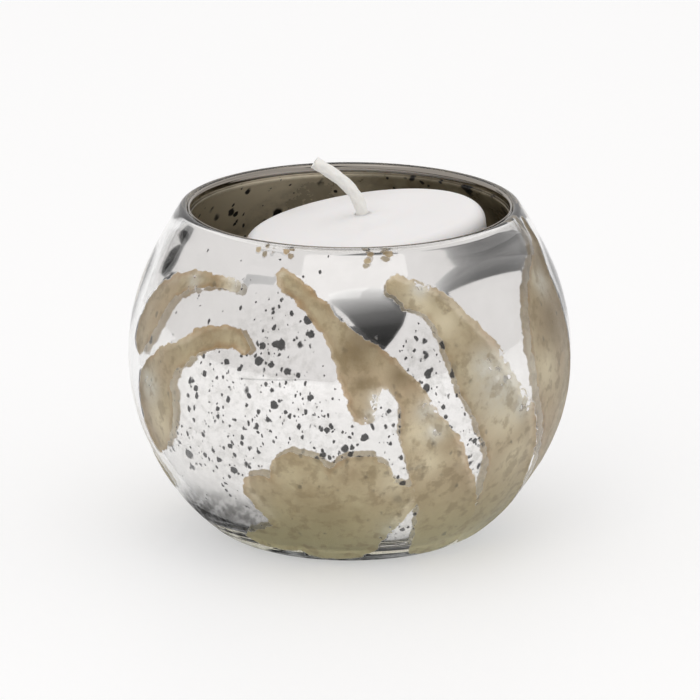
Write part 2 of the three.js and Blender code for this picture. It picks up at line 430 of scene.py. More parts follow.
def stain_colour(shader, distance, cloud):
    """Beige stain, brown along the edges of a cut, and thick, light or washed out in places."""
    streak = shader.step(shader.noise(640, detail=4, roughness=0.7), 0.35, 0.75)
    tinted = shader.step(shader.noise(110), 0.4, 0.6, 0.25, 0.95)
    washed = shader.times(shader.attribute("pale"), shader.step(streak, 0.0, 1.0, 1.0, 0.6))
    stain = shader.layered(
        STAIN,
        (cloud, STAIN_CLOUD),
        (shader.times(streak, 0.35), STAIN_STREAK),
        (shader.times(shader.step(distance, 1.3, 0.1), tinted), STAIN_EDGE),
        (shader.step(shader.noise(48), 0.44, 0.60, 0.0, 0.45), STAIN_ROSY),
        (shader.attribute("deep"), STAIN_DEEP),
        (shader.attribute("light"), STAIN_LIGHT),
        (washed, STAIN_WASHED),
    )
    above_foot = shader.step(shader.height(), *STAIN_WARMS)
    patchy = shader.step(shader.noise(430, detail=4, roughness=0.6), 0.48, 0.64)
    dots = shader.spots(0.0028, 0.05, 0.18, 0.45, edge=0.08)
    return shader.layered(
        shader.mix_colour(above_foot, STAIN_FOOT, stain),
        (shader.times(patchy, 0.55), STAIN_PATCH),
        (shader.times(dots, 0.6), STAIN_DOT),
    )


def glass_material():
    """Clear glass that is frosted and stained beige wherever the surface is cut."""
    shader = Shader("glass")
    distance = cut_edge(shader)
    frosted = shader.step(distance, -0.1, 0.1)
    cloud = shader.step(shader.noise(170, detail=5, roughness=0.62), 0.32, 0.68)
    clear = shader.mix_colour(shader.step(shader.height(), *GLASS_CLEARS), FOOT_GLASS, CLEAR_GLASS)
    stain = stain_colour(shader, distance, cloud)
    grain = shader.noise(3600, detail=2)
    shader.set("Base Color", shader.mix_colour(frosted, clear, stain))
    shader.set("Roughness", shader.mix(frosted, 0.02, shader.step(grain, 0.3, 0.7, 0.38, 0.55)))
    shader.set("Transmission Weight", shader.mix(frosted, 1.0, 0.6))
    shader.set("IOR", 1.5)
    relief = shader.maths("ADD", grain, shader.times(cloud, 0.8))
    shader.bump(shader.times(relief, frosted), 0.4, 0.00008)
    return shader.material


def silver_material():
    """Mirror silver that has aged into dark specks and blots, and darkens at its edge on the lip."""
    shader = Shader("silver")
    density = shader.attribute("speck")
    large = shader.spots(0.0026, 0.10, 0.28, shader.times(density, 0.8), rarity=2.0)
    medium = shader.spots(0.0015, 0.14, 0.31, density, rarity=1.2)
    small = shader.spots(0.0009, 0.14, 0.27, shader.times(density, 0.55), edge=0.07)
    wobble = shader.swing(0.55, 1100, detail=3)
    blot = shader.step(shader.maths("ADD", shader.attribute("blot"), wobble), -0.08, 0.08)
    dark = shader.larger(shader.larger(large, blot), shader.larger(medium, small))
    cloud = shader.noise(60, detail=5, roughness=0.62)
    patchy = shader.step(shader.noise(700, detail=3), 0.4, 0.7)
    on_lip = shader.step(shader.height(), *SILVER_DARKENS)
    bright = shader.layered(
        SILVER,
        (shader.step(cloud, 0.3, 0.7), SILVER_CLOUD),
        (shader.times(shader.step(density, 0.1, 0.9), patchy), SILVER_VEIL),
        (shader.times(on_lip, 0.85), SILVER_LIP),
    )
    shader.set("Base Color", shader.mix_colour(dark, bright, SILVER_SPECK))
    shader.set("Metallic", shader.mix(dark, 1.0, 0.0))
    shader.set("Roughness", shader.mix(dark, shader.step(cloud, 0.3, 0.75, 0.03, 0.09), 0.6))
    return shader.material


def lacquer_material():
    """Satin bronze lacquer, mottled, flecked with black, and painted lighter in one place at the back as a
    highlight.
    """
    shader = Shader("lacquer")
    mottle = shader.noise(90, detail=5, roughness=0.65)
    # Painted highlight: a light patch on the back wall, a little left of the middle, stands in for light
    # that the satin lacquer catches there.
    aside = shader.maths("ABSOLUTE", shader.maths("ADD", shader.along("X"), 0.009))
    at_back = shader.step(shader.along("Y"), 0.0, 0.02)
    wear_and_highlight = shader.times(shader.step(aside, 0.022, 0.002), at_back)
    wear_and_highlight = shader.times(wear_and_highlight, shader.step(mottle, 0.3, 0.55, 0.5, 1.0))
    flecks = shader.larger(shader.spots(0.0042, 0.08, 0.36, 0.6), shader.spots(0.0017, 0.12, 0.3, 0.5))
    colour = shader.layered(
        LACQUER_DARK,
        (shader.step(mottle, 0.35, 0.65), LACQUER_LIGHT),
        (wear_and_highlight, LACQUER_PAINTED_HIGHLIGHT),
        (shader.step(shader.height(), *LACQUER_DARKENS, 0.0, 0.5), LACQUER_UNDER_LIP),
        (flecks, LACQUER_FLECK),
    )
    shader.set("Base Color", colour)
    shader.set("Metallic", 0.35)
    shader.set("Roughness", shader.step(mottle, 0.3, 0.7, 0.26, 0.42))
    shader.bump(shader.noise(420, detail=3), 0.3, 0.0002)
    return shader.material


def wax_material():
    """White wax: light soaks a little way into it."""
    shader = Shader("wax")
    cloud = shader.noise(130, detail=3)
    shader.set("Base Color", shader.mix_colour(cloud, (0.84, 0.825, 0.82, 1), (0.875, 0.86, 0.855, 1)))
    shader.set("Subsurface Weight", 0.35)
    shader.set("Subsurface Radius", (1.0, 0.8, 0.65))
    shader.set("Subsurface Scale", 0.0025)
    shader.set("Roughness", shader.step(cloud, 0.35, 0.65, 0.38, 0.50))
    shader.bump(shader.noise(700, detail=4), 0.12, 0.0001)
    return shader.material


def cotton_material():
    """White cotton, with fine fibres and a little wax in it."""
    shader = Shader("waxed_cotton")
    fibre = shader.noise(5200, detail=3)
    shader.set("Base Color", shader.mix_colour(fibre, (0.84, 0.82, 0.77, 1), (0.93, 0.92, 0.89, 1)))
    shader.set("Roughness", 0.62)
    shader.set("Subsurface Weight", 0.25)
    shader.set("Subsurface Radius", (1.0, 0.85, 0.7))
    shader.set("Subsurface Scale", 0.0006)
    shader.bump(fibre, 0.5, 0.00008)
    return shader.material


def paper_material():
    """Rough unbleached paper."""
    shader = Shader("core_paper")
    fibre = shader.noise(4000, detail=3)
    shader.set("Base Color", shader.mix_colour(fibre, (0.66, 0.61, 0.51, 1), (0.80, 0.76, 0.67, 1)))
    shader.set("Roughness", 0.8)
    shader.bump(fibre, 0.4, 0.00006)
    return shader.material


def tinplate_material():
    """Bright rolled tinplate with fine scratches and a spangle."""
    shader = Shader("tinplate")
    spangle = shader.noise(900, detail=2)
    scratch = shader.noise(6000, detail=2)
    shader.set("Base Color", shader.mix_colour(spangle, (0.60, 0.60, 0.61, 1), (0.78, 0.78, 0.77, 1)))
    shader.set("Metallic", 1.0)
    shader.set("Roughness", shader.step(spangle, 0.3, 0.7, 0.24, 0.38))
    shader.bump(scratch, 0.2, 0.00003)
    return shader.material


# ==== Mesh building ====


def grid_mesh(name, rings, material, poles=True, attributes=None):
    """A closed mesh through rings of points, each ring anticlockwise from above, in millimetres.

    With poles, the first and last rings have shrunk to points. Without, the last ring joins the first.
    """
    columns = rings.shape[1]
    if poles:
        bottom = rings[0, :1]
        top = rings[-1, :1]
        body = rings[1:-1]
    else:
        body = rings
    count = len(body)
    points = body.reshape(-1, 3)
    index = np.arange(count * columns).reshape(count, columns)
    right = np.roll(index, -1, axis=1)
    above = index[1:] if poles else np.roll(index, -1, axis=0)
    above_right = right[1:] if poles else np.roll(right, -1, axis=0)
    low = slice(0, len(above))
    faces = np.stack((index[low], right[low], above_right, above), axis=-1).reshape(-1, 4).tolist()
    if poles:
        points = np.concatenate((points, bottom, top))
        first = count * columns
        for j in range(columns):
            faces.append((first, int(right[0, j]), int(index[0, j])))
            faces.append((int(index[-1, j]), int(right[-1, j]), first + 1))
    layers = {}
    for key, values in (attributes or {}).items():
        flat = values[1:-1].ravel() if poles else values.ravel()
        if poles:
            flat = np.concatenate((flat, values[0, :1], values[-1, :1]))
        layers[key] = flat.astype(np.float32)
    piece = mesh_object(name, (points * MM).tolist(), faces, material, layers)
    piece.data.shade_smooth()
    return piece


def turned(profile, azimuths):
    """Rings of points made by turning a profile of (radius, height) about the bowl's axis."""
    radius = profile[:, :1]
    height = np.repeat(profile[:, 1:], len(azimuths), axis=1)
    turn = np.radians(azimuths)[None, :]
    return np.stack((radius * np.sin(turn), -radius * np.cos(turn), height), axis=-1)


def whole_turn(columns):
    """The azimuth of each column, in degrees."""
    return np.arange(columns) * 360 / columns


def arc(centre, radius, start, end, spacing):
    """Points (radius, height) along an arc in the profile plane. Angles are degrees from level."""
    steps = max(2, round(abs(math.radians(end - start)) * radius / spacing))
    angles = np.radians(np.linspace(start, end, steps + 1))
    return np.column_stack((centre[0] + radius * np.cos(angles), centre[1] + radius * np.sin(angles)))


def line(start, end, spacing):
    """Points (radius, height) along a straight line in the profile plane."""
    steps = max(1, round(math.dist(start, end) / spacing))
    return np.linspace(start, end, steps + 1)


def joined(*parts):
    """Profile parts end to end, each without the point that it shares with the one before."""
    return np.concatenate([parts[0]] + [part[1:] for part in parts[1:]])


def corner_radius(start_radius, start_height, ball_radius):
    """Radius of an arc that leaves a level line and runs smoothly into the ball."""
    drop = BELLY_HEIGHT - start_height
    return (ball_radius**2 - start_radius**2 - drop**2) / (2 * (ball_radius - drop))


# ==== The bowl's profile ====

shoulder_turn = math.radians(SHOULDER)
shoulder_out = np.array((math.cos(shoulder_turn), math.sin(shoulder_turn)))
shoulder_up = np.array((-math.sin(shoulder_turn), math.cos(shoulder_turn)))
lip_height = BOWL_HEIGHT - LIP / 2
neck_start = np.array((0, BELLY_HEIGHT)) + BOWL_RADIUS * shoulder_out
neck_length = (lip_height + LIP / 2 * shoulder_out[1] - neck_start[1]) / shoulder_up[1]
neck_end = neck_start + neck_length * shoulder_up
lip_centre = neck_end - LIP / 2 * shoulder_out


def neck_curve(start, end, spacing):
    """A shallow arc that leaves the ball smoothly at NECK_START and ends at the lip."""
    chord = np.array(end) - start
    tilt = math.degrees(math.atan2(-chord[0], chord[1]))
    turn = math.radians(2 * (tilt - NECK_START))
    radius = np.linalg.norm(chord) / (2 * math.sin(turn / 2))
    begin = math.radians(NECK_START)
    centre = start - radius * np.array((math.cos(begin), math.sin(begin)))
    return arc(centre, radius, NECK_START, NECK_START + math.degrees(turn), spacing)


def ball_point(radius, degrees):
    """The point (radius, height) of a ball about the bowl's middle at an angle above level."""
    angle = math.radians(degrees)
    return np.array((radius * math.cos(angle), BELLY_HEIGHT + radius * math.sin(angle)))


def outside_profile():
    """From the middle of the base to the start of the lip."""
    punt = (PUNT_RADIUS**2 + PUNT_DEPTH**2) / (2 * PUNT_DEPTH)
    punt_edge = math.degrees(math.acos(PUNT_RADIUS / punt))
    corner = corner_radius(FOOT_RADIUS, 0, BOWL_RADIUS)
    corner_end = math.degrees(math.atan2(corner - BELLY_HEIGHT, FOOT_RADIUS))
    return joined(
        arc((0, PUNT_DEPTH - punt), punt, 90, punt_edge, 1.5),
        line((PUNT_RADIUS, 0), (FOOT_RADIUS, 0), 1.0),
        arc((FOOT_RADIUS, corner), corner, -90, corner_end, FINE),
        arc((0, BELLY_HEIGHT), BOWL_RADIUS, corner_end, NECK_START, FINE),
        neck_curve(ball_point(BOWL_RADIUS, NECK_START), neck_end, FINE),
    )


def inside_profile(inset, below, spacing):
    """From the middle of the floor up to the neck, moved inwards by inset and ended below the lip."""
    ball = BOWL_RADIUS - WALL
    corner = corner_radius(FLOOR_RADIUS, FLOOR_HEIGHT, ball)
    corner_centre = (FLOOR_RADIUS, FLOOR_HEIGHT + corner)
    corner_end = math.degrees(math.atan2(corner_centre[1] - BELLY_HEIGHT, FLOOR_RADIUS))
    end = neck_end - (LIP + inset) * shoulder_out - below * shoulder_up
    return joined(
        line((0, FLOOR_HEIGHT + inset), (FLOOR_RADIUS, FLOOR_HEIGHT + inset), spacing),
        arc(corner_centre, corner - inset, -90, corner_end, spacing),
        arc((0, BELLY_HEIGHT), ball - inset, corner_end, NECK_START, spacing),
        neck_curve(ball_point(ball - inset, NECK_START), end, spacing),
    )


def silvered_profile(inset, spacing):
    """The inside wall, carried on up the inner side of the lip to the edge of the silver."""
    edge = arc(lip_centre, LIP / 2 + inset, SHOULDER + 180, SILVER_EDGE_ANGLE, min(spacing, FINE))
    return joined(inside_profile(inset, 0, spacing), edge)


def waviness(azimuths, heights):
    """How far the blown surface strays from round, in millimetres."""
    turn = np.radians(azimuths)[None, :]
    rise = heights[:, None] / 9
    broad = 0.022 * np.sin(5 * turn + 0.9 * rise) + 0.014 * np.cos(3 * turn + 2.3 * rise + 2)
    return broad + 0.018 * np.sin(9 * turn - 1.7 * rise + 1)


# ==== The cut decoration ====

OUTSIDE = outside_profile()
OUTSIDE_WALL = OUTSIDE[OUTSIDE[:, 0] >= FOOT_RADIUS]  # from the edge of the foot up
CUT_DEPTH = 0.3
CUT_ROUNDING = 2.2  # a cut is at its full depth this far inside its edge
STAMP_SPACING = 0.35
STAMP_MARGIN = 2.5  # a stamp is worked out this far beyond its own edge
POD_RIM = (1.2, 1.6, 1.8, 1.6, 1.2)  # half widths along each side of a pod's rim

# Strokes on the front and then on the sides and back, through points (azimuth, height, half width).
UPPER_ARC = [
    (-35, 50.5, 0.9), (-44, 50.4, 1.1), (-54, 49.4, 1.8), (-62, 46.8, 2.4), (-67, 42.5, 3.4),
    (-71, 37.5, 2.9),
]
LOWER_ARC = [
    (-28.6, 40.9, 1.1), (-31.5, 42.4, 1.5), (-37, 42.3, 1.9), (-44.5, 40.4, 2.1), (-52, 37.2, 2.4),
    (-58.5, 33.0, 3.8), (-61.5, 28.0, 6.0), (-63.5, 23.5, 4.8), (-65, 20.5, 2.8),
]
VINE = [
    (-20.3, 52.8, 1.6), (-15.4, 51.0, 1.8), (-10.2, 48.8, 1.8), (-5.6, 45.8, 2.0), (-0.6, 42.4, 2.9),
    (2.2, 39.0, 3.5), (2.8, 36.0, 3.3), (3.1, 33.4, 2.6), (3.5, 31.9, 2.2),
]
BRANCH = [
    (1, 42.2, 2.0), (5.6, 40.4, 2.7), (10.3, 38.0, 2.5), (14.3, 35.0, 2.2), (16.8, 32.0, 2.8),
    (18.3, 29.0, 3.7), (20.5, 25.6, 4.8), (24, 21.0, 5.3), (27.5, 16.0, 5.4), (31, 10.5, 5.8),
    (35, 5.0, 6.2),
]
LEAF = [
    (14, 51.6, 1.9), (19, 50.1, 2.4), (25, 48.0, 2.7), (30, 44.2, 3.6), (33.5, 40.0, 4.7), (37, 35.5, 5.3),
    (42, 30.0, 5.5), (47.0, 25.0, 6.1), (50, 19.0, 6.3), (52, 12.0, 6.2), (56, 6.0, 6.5),
]
RIGHT_BAND = [
    (81.5, 55.4, 1.2), (81, 52.5, 1.6), (76, 49.6, 2.4), (71, 46.5, 4.6), (68, 42, 7.2), (68, 36, 8.4),
    (70.5, 30, 8.0), (73, 24, 6.9), (75, 16, 5.6), (77, 8, 4.6),
]
FOOT_SMEAR = [(-16, 6.5, 4.5), (-28, 5.0, 3.4), (-37, 4.6, 1.6)]
FRONT_STROKES = [UPPER_ARC, LOWER_ARC, VINE, BRANCH, LEAF, RIGHT_BAND, FOOT_SMEAR]

BACK_STROKES = [
    [(128, 27, 3.2), (130, 16, 3.4), (131, 5, 4.2)],
    [(104, 53, 1.5), (112, 50.5, 2.0), (121, 50.2, 2.0), (131, 51.4, 1.6)],
    [(146, 53.4, 1.4), (152, 49, 2.2), (154, 43, 2.4), (150, 37, 1.8)],
    [(101, 40, 1.8), (97, 30, 3.0), (98, 18, 3.6), (102, 6, 4.2)],
    [(188, 52.6, 1.5), (196, 49, 2.2), (204, 43, 2.6), (210, 35, 2.4), (208, 26, 2.0)],
    [(222, 52, 1.5), (232, 52.4, 1.9), (244, 51, 2.1), (255, 47, 2.6), (261, 41, 3.2)],
    [(226, 10, 3.0), (240, 7, 3.6), (256, 9, 3.4), (268, 15, 2.6)],
    [(266, 32, 1.8), (270, 24, 2.6), (278, 17, 3.0), (288, 12, 2.4)],
    [(170, 6, 3.4), (182, 9, 3.0), (190, 5, 3.2)],
]

# The half flower that grows from the foot: the tips of its petals, as (azimuth, height, radius).
FOOT_PETALS = [(-24.6, 15.6, 3.9), (-13.6, 18.9, 5.5), (2.8, 18.6, 5.6), (11.6, 14.2, 4.6)]
FOOT_FLOWER = (-6, 7.0, 8.5)

# Places where the stain is thin, thick and light, as (azimuth, height, size).
FRONT_PALE = [
    (7.4, 33.6, 1.8), (5.6, 30.8, 1.5), (43, 34, 6.0), (38, 37, 3.5), (50, 29, 3.0), (21, 51, 1.5),
    (20, 31, 2.0), (-35, 50.6, 2.0), (-52, 49.4, 1.5), (-64, 30, 3.0), (14, 8, 3.0), (22.5, 27, 1.8),
    (70, 47, 2.5),
]
FRONT_DEEP = [
    (1, 41.5, 3.0), (3, 36.5, 1.5), (-7, 10.5, 4.0), (13, 37.5, 2.0), (70, 40, 6.0), (75, 50, 3.0),
    (82, 54, 3.0), (79, 50.5, 2.5),
]
FRONT_LIGHT = [
    (18.5, 27.0, 3.4), (21.5, 21.5, 3.0), (20, 49.0, 3.0), (27, 45.5, 3.0), (45, 27, 4.5), (51, 19, 4.5),
    (-38, 50.6, 2.0), (12, 18, 2.6), (-60, 24, 3.5), (63, 33, 4.0),
]

# Places where the silver is specked, as (azimuth, height, size), and its largest blots, as (azimuth,
# height, radius). The smaller blots are drawn at random.
FRONT_SPECKS = [
    (-22, 42, 8), (-34, 30, 12), (-18, 33, 10), (-46, 22, 9), (-6, 27, 6), (10, 30, 4), (19, 40, 5),
    (25, 35, 5), (31, 27, 5), (36, 21, 5), (13, 20, 4), (15, 13, 4), (17.5, 8, 4), (-10, 29, 5),
    (-1, 26, 4), (45, 19, 5), (-30, 20, 8),
]
FRONT_BLOTS = [
    (-50, 20, 0.9), (-34, 19, 0.8), (-25, 39, 0.8), (-20, 32, 0.7), (-19, 42, 0.9), (-12, 46, 0.7),
    (-11, 44, 0.7), (4, 27, 0.7), (14, 15, 0.8), (21, 37, 0.7), (48, 20, 0.8),
]
BLOT_SPACING = 2.2  # millimetres of a specked place's size for each small blot in it

# Flecks of stain under the lip, as (azimuth, height, radius).
LIP_FLECKS = [
    (-31, 56.5, 0.7), (-28.5, 56.8, 0.5), (-21, 56.6, 0.5), (6, 55.6, 0.6), (6.4, 56.6, 0.5),
    (12.5, 56.6, 0.6),
]


def on_bowl(azimuth, height):
    """The point on the plain outside of the bowl at an azimuth in degrees and a height."""
    radius = np.interp(height, OUTSIDE_WALL[:, 1], OUTSIDE_WALL[:, 0])
    turn = np.radians(azimuth)
    return np.stack(np.broadcast_arrays(radius * np.sin(turn), -radius * np.cos(turn), height), axis=-1)


class Field:
    """A value at each point of a grid on the bowl, raised by the shapes that are stamped onto it."""

    def __init__(self, azimuths, heights, ground):
        self.azimuths = azimuths
        self.heights = heights
        self.points = on_bowl(azimuths[None, :], heights[:, None])
        self.values = np.full(self.points.shape[:2], ground, dtype=float)

    def stamp(self, azimuth, height, reach, shape):
        """Raises the field to shape(distance) wherever a place is nearer than reach."""
        centre = on_bowl(azimuth, height)
        low, high = np.searchsorted(self.heights, (height - reach, height + reach))
        turn = np.abs((self.azimuths - azimuth + 180) % 360 - 180)
        near = np.flatnonzero(np.radians(turn) < 1.4 * reach / np.hypot(centre[0], centre[1]))
        if low == high or len(near) == 0:
            return
        block = np.ix_(np.arange(low, high), near)
        distance = np.linalg.norm(self.points[block] - centre, axis=-1)
        self.values[block] = np.maximum(self.values[block], shape(distance))

    def dab(self, azimuth, height, radius):
        """A disc: the value is how far inside its edge a point lies."""
        self.stamp(azimuth, height, radius + STAMP_MARGIN, lambda distance: radius - distance)

    def ring(self, azimuth, height, outer, inner):
        """A ring between two radii, valued as a disc is."""
        reach = outer + STAMP_MARGIN
        self.stamp(azimuth, height, reach, lambda distance: np.minimum(outer - distance, distance - inner))

    def patch(self, azimuth, height, size):
        """A soft patch that fades from 1 in the middle."""
        self.stamp(azimuth, height, 2.2 * size, lambda distance: np.exp(-((distance / size) ** 2)))

    def stroke(self, course):
        """A brush stroke on a smooth curve through points (azimuth, height, half width)."""
        course = np.array(course, dtype=float)
        padded = np.concatenate((2 * course[:1] - course[1:2], course, 2 * course[-1:] - course[-2:-1]))
        for before, start, end, after in zip(padded, padded[1:], padded[2:], padded[3:]):
            length = np.linalg.norm(on_bowl(*end[:2]) - on_bowl(*start[:2]))
            steps = max(2, math.ceil(length / STAMP_SPACING))
            for share in np.arange(steps + 1) / steps:
                self.dab(*catmull_rom(before, start, end, after, share))


def catmull_rom(before, start, end, after, share):
    """The point a share of the way from start to end on a smooth curve through all four."""
    bend = 2 * before - 5 * start + 4 * end - after
    twist = 3 * start - before - 3 * end + after
    return start + 0.5 * share * (end - before + share * (bend + share * twist))


def beside(azimuth, height, east, north, turn=0.0):
    """The place that lies east and north, in millimetres, of another, after a turn in degrees."""
    angle = math.radians(turn)
    right = east * math.cos(angle) - north * math.sin(angle)
    up = east * math.sin(angle) + north * math.cos(angle)
    girth = np.interp(height, OUTSIDE_WALL[:, 1], OUTSIDE_WALL[:, 0])
    return azimuth + math.degrees(right / girth), height + up * girth / BOWL_RADIUS


def flower(field, azimuth, height, petals, reach, radius, turn):
    """Round petals about a centre, each joined to it."""
    for i in range(petals):
        tip = beside(azimuth, height, 0, reach, turn + 360 * i / petals)
        field.stroke([(azimuth, height, 0.6 * radius), (*tip, radius)])


def pod(field, azimuth, height, length, width, beads, turn):
    """A seed pod: a rim drawn as two bowed strokes round a row of beads."""
    for side in (-1, 1):
        bow = ((0, -1 / 2), (0.4 * side, -1 / 4), (side / 2, 0), (0.4 * side, 1 / 4), (0, 1 / 2))
        rim = [beside(azimuth, height, east * width, north * length, turn) for east, north in bow]
        field.stroke([(*place, half_width) for place, half_width in zip(rim, POD_RIM)])
    for i in range(beads):
        north = length * ((i + 0.5) / beads - 0.5) * 0.78
        field.ring(*beside(azimuth, height, 0, north, turn), 0.36 * width, 0.09 * width)


def cut_front(field):
    """The strokes, the half flower at the foot and the flecks under the lip."""
    for course in FRONT_STROKES:
        field.stroke(course)
    for azimuth, height, radius in FOOT_PETALS:
        field.stroke([FOOT_FLOWER, (azimuth, height, radius)])
    for fleck in LIP_FLECKS:
        field.dab(*fleck)


def cut_sides_and_back(field):
    """The same kinds of shape, carried on round the rest of the bowl."""
    for course in BACK_STROKES:
        field.stroke(course)
    flower(field, 128, 33, petals=6, reach=6.6, radius=3.9, turn=12)
    flower(field, 204, 19, petals=5, reach=5.6, radius=3.6, turn=20)
    pod(field, 163, 27, length=40, width=15, beads=4, turn=-14)
    pod(field, 240, 30, length=34, width=14, beads=3, turn=16)


def cut_distances(azimuths, heights):
    """How far inside the edge of a cut each point is, in millimetres, and less than 0 outside."""
    field = Field(azimuths, heights, NO_CUT)
    cut_front(field)
    cut_sides_and_back(field)
    return field.values + raggedness(azimuths, heights)


def raggedness(azimuths, heights):
    """How far the edges of the cuts stray from the drawn shapes, in millimetres."""
    turn = np.radians(azimuths)[None, :]
    rise = heights[:, None]
    broad = 0.2 * np.sin(17 * turn + 0.42 * rise) * np.cos(11 * turn - 0.31 * rise + 1)
    middle = 0.2 * np.sin(41 * turn - 0.95 * rise + 2) * np.cos(29 * turn + 1.2 * rise)
    return broad + middle + 0.14 * np.sin(83 * turn + 2.1 * rise) * np.cos(67 * turn - 2.6 * rise + 3)


def cut_depth(distance):
    """How deep a cut is, rounded up towards its edge, in millimetres."""
    share = np.clip(distance / CUT_ROUNDING, 0, 1)
    return CUT_DEPTH * (1 - (1 - share) ** 2)


def soft_patches(azimuths, heights, places, back_count, back_size, seed):
    """Patches at the given places, and a few more at random round the sides and back."""
    field = Field(azimuths, heights, 0.0)
    draw = np.random.default_rng(seed)
    back = zip(draw.uniform(85, 285, back_count), draw.uniform(10, 50, back_count))
    for azimuth, height, size in places + [(*place, back_size) for place in back]:
        field.patch(azimuth, height, size)
    return field.values


def blot_distances(azimuths, heights, back_count=22, seed=5):
    """Signed distances to the blots, of which only the largest on the front have set places."""
    field = Field(azimuths, heights, NO_CUT)
    draw = np.random.default_rng(seed)
    for azimuth, height, radius in FRONT_BLOTS:
        field.dab(azimuth, height, radius)
    for _ in range(back_count):
        field.dab(draw.uniform(80, 290), draw.uniform(12, 50), draw.uniform(0.4, 0.9))
    for azimuth, height, size in FRONT_SPECKS:
        for _ in range(round(size / BLOT_SPACING)):
            east, north = draw.normal(0, size / 2, 2)
            field.dab(*beside(azimuth, height, east, north), draw.uniform(0.35, 0.65))
    return field.values


# ==== Pieces of the bowl ====


def outward(profile):
    """Unit normals (radius, height) along a profile that runs up a wall, facing away from the axis."""
    tangent = np.gradient(profile, axis=0)
    normal = np.column_stack((tangent[:, 1], -tangent[:, 0]))
    return normal / np.linalg.norm(normal, axis=1, keepdims=True)


def push(rings, azimuths, normals, amount):
    """Moves rings of points along the normals of their profile."""
    turn = np.radians(azimuths)[None, :]
    sideways = normals[:, :1] * amount
    rings[..., 0] += sideways * np.sin(turn)
    rings[..., 1] -= sideways * np.cos(turn)
    rings[..., 2] += normals[:, 1:] * amount


def fade_at_ends(heights):
    """1 over the belly, falling to 0 at the foot and at the lip."""
    return np.interp(heights, (0, 5, 50, BOWL_HEIGHT - 1.5), (0, 1, 1, 0))[:, None]


def on_wall(values, rings, wall, elsewhere=0.0):
    """Values for every ring of a piece, of which only those of its wall are given."""
    everywhere = np.full(rings.shape[:2], elsewhere)
    everywhere[wall] = values
    return everywhere


def make_glass():
    """The bowl: cut outside, plain inside, and rounded at the lip."""
    azimuths = whole_turn(GLASS_COLUMNS)
    lip = arc(lip_centre, LIP / 2, SHOULDER, SHOULDER + 180, 0.6 * FINE)
    profile = joined(OUTSIDE, lip, inside_profile(0, 0, COARSE)[::-1])
    wall = slice(len(OUTSIDE) - len(OUTSIDE_WALL), len(OUTSIDE))
    heights = OUTSIDE_WALL[:, 1]
    cuts = cut_distances(azimuths, heights)
    rings = turned(profile, azimuths)
    strayed = waviness(azimuths, heights) * fade_at_ends(heights)
    push(rings[wall], azimuths, outward(profile)[wall], strayed - cut_depth(cuts))
    foot_ring = (profile[:, 1] < 0.01) & (profile[:, 0] > PUNT_RADIUS - 0.1)
    attributes = {
        "cut": on_wall(cuts, rings, wall, NO_CUT),
        "pale": on_wall(soft_patches(azimuths, heights, FRONT_PALE, 9, 4.5, seed=11), rings, wall),
        "deep": on_wall(soft_patches(azimuths, heights, FRONT_DEEP, 9, 4.5, seed=12), rings, wall),
        "light": on_wall(soft_patches(azimuths, heights, FRONT_LIGHT, 6, 5.0, seed=13), rings, wall),
    }
    attributes["cut"][foot_ring] = CUT_ROUNDING  # the foot is ground, so it is frosted like a cut
    return grid_mesh("cut_glass_bowl", rings, glass_material(), attributes=attributes)


def make_silver():
    """The mirror coat, which follows the waves of the glass on the side that shows."""
    azimuths = whole_turn(SILVER_COLUMNS)
    seen = silvered_profile(COAT_GAP, FINE)
    hidden = silvered_profile(COAT_GAP + COAT_THICKNESS, COARSE)[::-1]
    profile = np.concatenate((seen, hidden))
    rings = turned(profile, azimuths)
    first = int(np.argmax(seen[:, 0] > FLOOR_RADIUS + 0.01))
    wall = slice(first, len(seen))
    heights = seen[wall, 1]
    push(rings[wall], azimuths, outward(seen)[wall], waviness(azimuths, heights) * fade_at_ends(heights))
    specks = soft_patches(azimuths, heights, FRONT_SPECKS, 16, 11, seed=3)
    blots = blot_distances(azimuths, heights)
    attributes = {
        "speck": on_wall(specks, rings, wall),
        "blot": on_wall(blots, rings, wall, NO_CUT),
    }
    return grid_mesh("silver_mirror", rings, silver_material(), attributes=attributes)


def make_lacquer():
    """The coat over the silver, seen from inside the bowl."""
    outside = COAT_GAP + COAT_THICKNESS + COAT_GAP
    hidden = inside_profile(outside, LACQUER_BELOW_LIP, COARSE)
    seen = inside_profile(outside + COAT_THICKNESS, LACQUER_BELOW_LIP, MEDIUM)[::-1]
    rings = turned(np.concatenate((hidden, seen)), whole_turn(LACQUER_COLUMNS))
    return grid_mesh("bronze_lacquer", rings, lacquer_material())


# ==== Pieces of the candle ====

CANDLE_HEIGHT = 48.7
CANDLE_BASE_RADIUS = 19.8
CANDLE_TOP_RADIUS = 20.8
CANDLE_SHOULDER = 2.6
CANDLE_DOME = 0.7
CANDLE_CHAMFER = 0.6
CANDLE_COLUMNS = 160
CREEP_HEIGHT = 0.55  # of the wax that climbs the wick
CREEP_REACH = 0.9
DIP_DEPTH = 0.35  # of the hollow round the wick
DIP_RADIUS = 5.5
DIP_WIDTH = 3.4
CLEARANCE = 0.3
WICK_RADIUS = 1.1
WICK_CORE_RADIUS = 0.45
WICK_UPRIGHT = 5.0
WICK_BEND = (-3.6, 7.6)  # sideways and up from the top of the candle, as is the tip
WICK_TIP = (-6.9, 10.4)
WICK_BORE = WICK_RADIUS + CLEARANCE
SUSTAINER_RADIUS = 9.0
SUSTAINER_THICKNESS = 0.4
NECK_WALL = 0.4
NECK_HEIGHT = 4.0
RING_INNER = 4.7  # the raised ring pressed into the plate
RING_OUTER = 6.0
RING_HEIGHT = 0.14
RING_SLOPE = 0.5  # how far out each side of the ring runs
BRAID_PITCH = 3.4
TWIST_STEP = 1.1  # length over which the phase of the core's twist moves on by a radian


